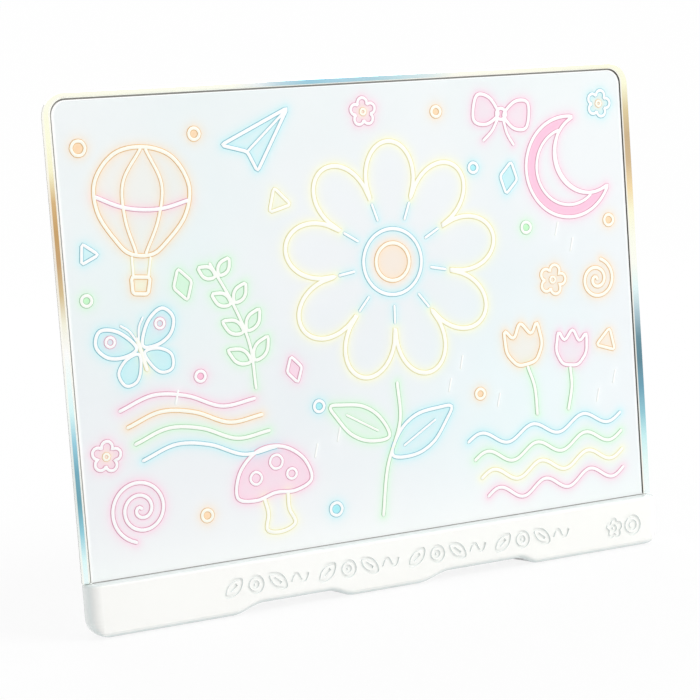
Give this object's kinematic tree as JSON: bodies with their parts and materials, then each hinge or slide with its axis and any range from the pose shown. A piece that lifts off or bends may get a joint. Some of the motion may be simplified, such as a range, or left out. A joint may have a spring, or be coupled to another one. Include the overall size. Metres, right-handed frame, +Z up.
{
  "type": "led writing board",
  "caption": "Free-standing edge-lit acrylic writing board in a thin plated frame, in a white base with charging inlet and keys behind",
  "frame": {"origin": "under the middle of the bounding box, on the plane that the rubber feet stand on", "axes": "+X to the right along the board, +Y from the writing side to the back, +Z up"},
  "size_m": [0.2976, 0.0286, 0.235],
  "materials": {
    "plated_frame": "mirror plating with soft coloured reflections, cream, gold and pale blue",
    "clear_acrylic": "clear polished acrylic",
    "dark_gasket": "matte dark foam and rubber",
    "reflector": "matte white film",
    "gloss_white": "smooth glossy white moulding",
    "matte_white": "fine satin white moulding",
    "grey_rubber": "soft matte grey pad",
    "screw_steel": "bright zinc plating",
    "led_strip": "white solder mask with lamps",
    "board_green": "green solder mask",
    "chip_black": "black moulding",
    "connector_cream": "natural nylon",
    "cell_foil": "soft foil pouch",
    "lead_red": "red insulation",
    "lead_black": "black insulation",
    "charge_lamp": "small green lamp",
    "clear_pipe": "clear rod with a frosted end"
  },
  "bodies": {
    "board": {"chrome_frame": "plated_frame", "writing_panel": "clear_acrylic", "panel_gasket": "dark_gasket", "reflector_sheet": "reflector", "back_cover": "matte_white", "board_screw_1": "screw_steel", "board_screw_2": "screw_steel", "board_screw_3": "screw_steel", "board_screw_4": "screw_steel", "base_housing": "gloss_white", "base_bottom_cover": "matte_white", "cover_screw_1": "screw_steel", "cover_screw_2": "screw_steel", "cover_screw_3": "screw_steel", "cover_screw_4": "screw_steel", "cover_screw_5": "screw_steel", "cover_screw_6": "screw_steel", "rubber_foot_left": "grey_rubber", "rubber_foot_middle": "grey_rubber", "rubber_foot_right": "grey_rubber", "led_channel": "matte_white", "led_strip": "led_strip", "main_board": "board_green", "main_board_screw_1": "screw_steel", "main_board_screw_2": "screw_steel", "controller_chip": "chip_black", "battery_connector": "connector_cream", "battery_cell": "cell_foil", "battery_pad": "dark_gasket", "battery_lead_red": "lead_red", "battery_lead_black": "lead_black", "led_lead_left": "lead_black", "led_lead_right": "lead_red", "usb_c_socket": "screw_steel", "power_switch": "screw_steel", "mode_switch": "screw_steel", "charge_led": "charge_lamp", "charge_light_pipe": "clear_pipe"},
    "power_key": {"power_button": "gloss_white", "power_switch_plunger": "chip_black"},
    "mode_key": {"mode_button": "gloss_white", "mode_switch_plunger": "chip_black"}
  },
  "joints": [
    {"name": "power_press", "type": "slide", "parent": "board", "child": "power_key", "axis": [0, -1, 0], "range_m": [0, 0.0005], "stiffness_N_per_m": 4000},
    {"name": "mode_press", "type": "slide", "parent": "board", "child": "mode_key", "axis": [0, -1, 0], "range_m": [0, 0.0005], "stiffness_N_per_m": 4000}
  ]
}
